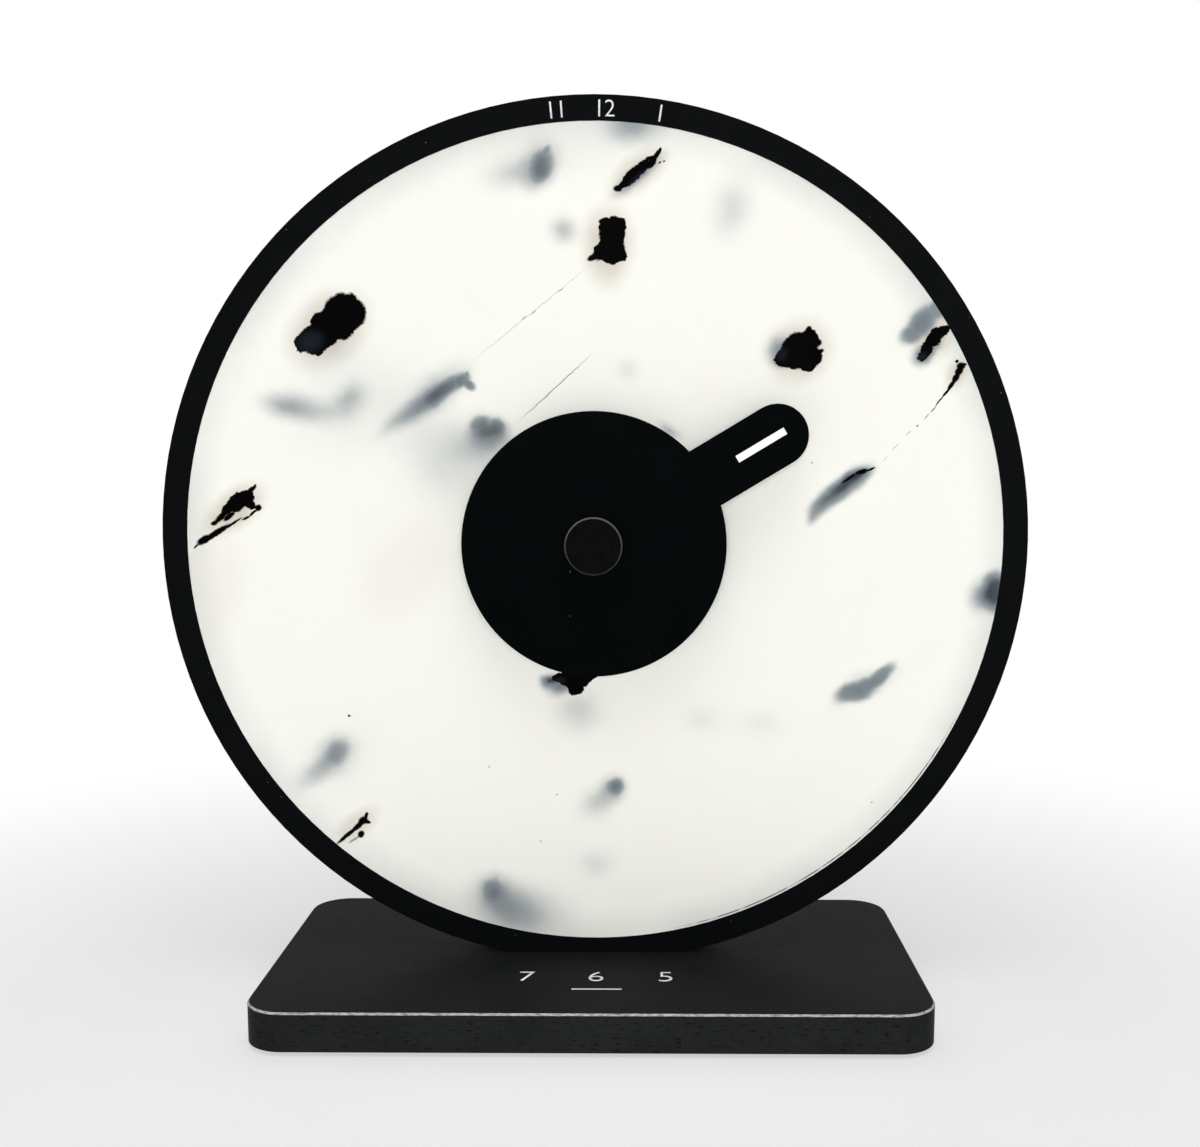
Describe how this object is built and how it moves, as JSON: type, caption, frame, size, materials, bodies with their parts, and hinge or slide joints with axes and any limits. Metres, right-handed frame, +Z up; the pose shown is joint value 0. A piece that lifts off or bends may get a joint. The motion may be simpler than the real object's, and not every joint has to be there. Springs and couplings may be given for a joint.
{
  "type": "tide clock",
  "caption": "Free-standing tide clock: black board disc with a pale speckled inlaid face on a board base, a hub-disc hand with a round-ended pointer, and a quartz movement behind.",
  "frame": {"origin": "on the floor under the middle of the base", "axes": "+Z up; the front of the dial faces -Y; +X is to the right of someone who faces the clock"},
  "size_m": [0.2, 0.08, 0.2075],
  "materials": {
    "black_board": "through-dyed black fibre board, fine sanded, waxed satin",
    "speckled_plastic": "cloudy white recycled plastic with black and grey flecks, sanded matt",
    "hand_black": "matt black",
    "cap_black": "satin black, edge broken",
    "index_white": "flat white fill",
    "foot_rubber": "black rubber",
    "dowel_beech": "plain beech",
    "brass": "turned brass",
    "case_plastic": "moulded black plastic, fine spark texture",
    "frame_plastic": "moulded dark grey plastic",
    "gear_plastic": "natural acetal",
    "magnet": "sintered ferrite",
    "plated_steel": "nickel plated strip",
    "copper_wire": "enamelled copper wire",
    "board_laminate": "green solder mask",
    "chip_resin": "black resin package",
    "can_metal": "drawn quartz can",
    "battery_cell": null
  },
  "bodies": {
    "clock": {"base_plate": "black_board", "base_feet": "foot_rubber", "dial_dowels": "dowel_beech", "dial_body": "black_board", "dial_face": "speckled_plastic", "stem_nut": "brass", "gasket": "foot_rubber", "movement_case": "case_plastic", "movement_cover": "case_plastic", "train_plate": "frame_plastic", "train_bridge": "frame_plastic", "stator": "plated_steel", "coil_core": "plated_steel", "coil_bobbin": "frame_plastic", "coil_winding": "copper_wire", "circuit_board": "board_laminate", "drive_chip": "chip_resin", "quartz_can": "can_metal", "positive_contact": "plated_steel", "negative_contact": "plated_steel"},
    "hand": {"tide_hand": "hand_black", "index_line": "index_white", "hand_cap": "cap_black", "tide_wheel": "gear_plastic"},
    "minute_work": {"minute_wheel": "gear_plastic"},
    "setting": {"cannon_arbor": "gear_plastic", "setting_knob": "case_plastic"},
    "centre": {"centre_wheel": "gear_plastic"},
    "third": {"third_wheel": "gear_plastic"},
    "fourth": {"fourth_wheel": "gear_plastic"},
    "fifth": {"fifth_wheel": "gear_plastic"},
    "rotor": {"rotor_pinion": "gear_plastic", "rotor_magnet": "magnet"},
    "battery": {"battery": "battery_cell"}
  },
  "joints": [
    {"name": "hand_turn", "type": "hinge", "parent": "clock", "child": "hand", "pos_m": [0, 0, 0.1075], "axis": [0, 1, 0], "continuous": true},
    {"name": "minute_turn", "type": "hinge", "parent": "clock", "child": "minute_work", "pos_m": [-0.00424, 0.0115, 0.11174], "axis": [0, 1, 0], "continuous": true},
    {"name": "setting_turn", "type": "hinge", "parent": "clock", "child": "setting", "pos_m": [0, 0.018, 0.1075], "axis": [0, 1, 0], "continuous": true},
    {"name": "rotor_turn", "type": "hinge", "parent": "clock", "child": "rotor", "pos_m": [-0.00462, 0.015, 0.12218], "axis": [0, 1, 0], "continuous": true},
    {"name": "fifth_turn", "type": "hinge", "parent": "clock", "child": "fifth", "pos_m": [0.0022, 0.015, 0.12339], "axis": [0, 1, 0], "continuous": true},
    {"name": "fourth_turn", "type": "hinge", "parent": "clock", "child": "fourth", "pos_m": [0.00948, 0.015, 0.12074], "axis": [0, 1, 0], "continuous": true},
    {"name": "third_turn", "type": "hinge", "parent": "clock", "child": "third", "pos_m": [0.0073, 0.015, 0.11261], "axis": [0, 1, 0], "continuous": true},
    {"name": "centre_turn", "type": "hinge", "parent": "clock", "child": "centre", "pos_m": [0, 0.014, 0.1075], "axis": [0, 1, 0], "continuous": true},
    {"name": "battery_lift", "type": "slide", "parent": "clock", "child": "battery", "axis": [0, 1, 0], "range_m": [0, 0.03]}
  ],
  "couplings": [
    {"joint": "minute_turn", "follows": "hand_turn", "ratio": -4},
    {"joint": "setting_turn", "follows": "hand_turn", "ratio": 12},
    {"joint": "fifth_turn", "follows": "rotor_turn", "ratio": -0.16667},
    {"joint": "fourth_turn", "follows": "rotor_turn", "ratio": 0.033333},
    {"joint": "third_turn", "follows": "rotor_turn", "ratio": -0.0044444},
    {"joint": "centre_turn", "follows": "rotor_turn", "ratio": 0.00055556}
  ]
}
